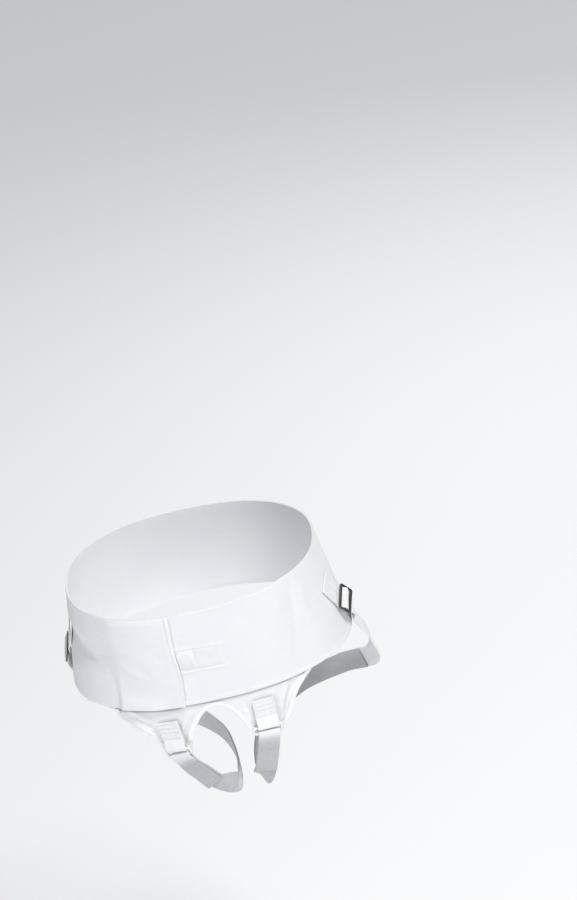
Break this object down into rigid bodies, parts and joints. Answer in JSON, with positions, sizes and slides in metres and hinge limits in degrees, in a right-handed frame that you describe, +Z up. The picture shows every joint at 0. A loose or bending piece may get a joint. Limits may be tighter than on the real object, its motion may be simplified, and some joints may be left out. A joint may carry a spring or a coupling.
{
  "type": "hernia support belt",
  "caption": "Wide elastic hip belt in its worn form, with a front flap closure, an arched groin panel and adjustable leg straps through metal slides",
  "frame": {"origin": "centre of the hip opening, half way up the belt, on the wearer's trunk axis", "axes": "+Z up along the wearer's trunk, the front of the belt faces -Y, +X to the right as seen from the front (the wearer's left)"},
  "size_m": [0.3542, 0.2599, 0.3003],
  "materials": {
    "elastic": "fine ribbed white elastic",
    "hook_tab": "flat white hook-backed tape",
    "cotton": "smooth white cotton",
    "binding": "folded white edge tape",
    "webbing": "woven white webbing",
    "soft_strap": "brushed loop pile, pale grey",
    "loop_plastic": "smooth white moulded plastic",
    "nickel": "polished nickel plate"
  },
  "bodies": {
    "root": {"waist_band": "elastic", "closing_tab": "hook_tab", "front_panel": "cotton", "leg_binding_left": "binding", "arch_binding": "binding", "leg_binding_right": "binding", "ring_tab_left": "webbing", "strap_loop_left": "loop_plastic", "leg_strap_left": "soft_strap", "hip_strap_left": "webbing", "slide_left": "nickel", "ring_tab_right": "webbing", "strap_loop_right": "loop_plastic", "leg_strap_right": "soft_strap", "hip_strap_right": "webbing", "slide_right": "nickel"}
  },
  "joints": []
}
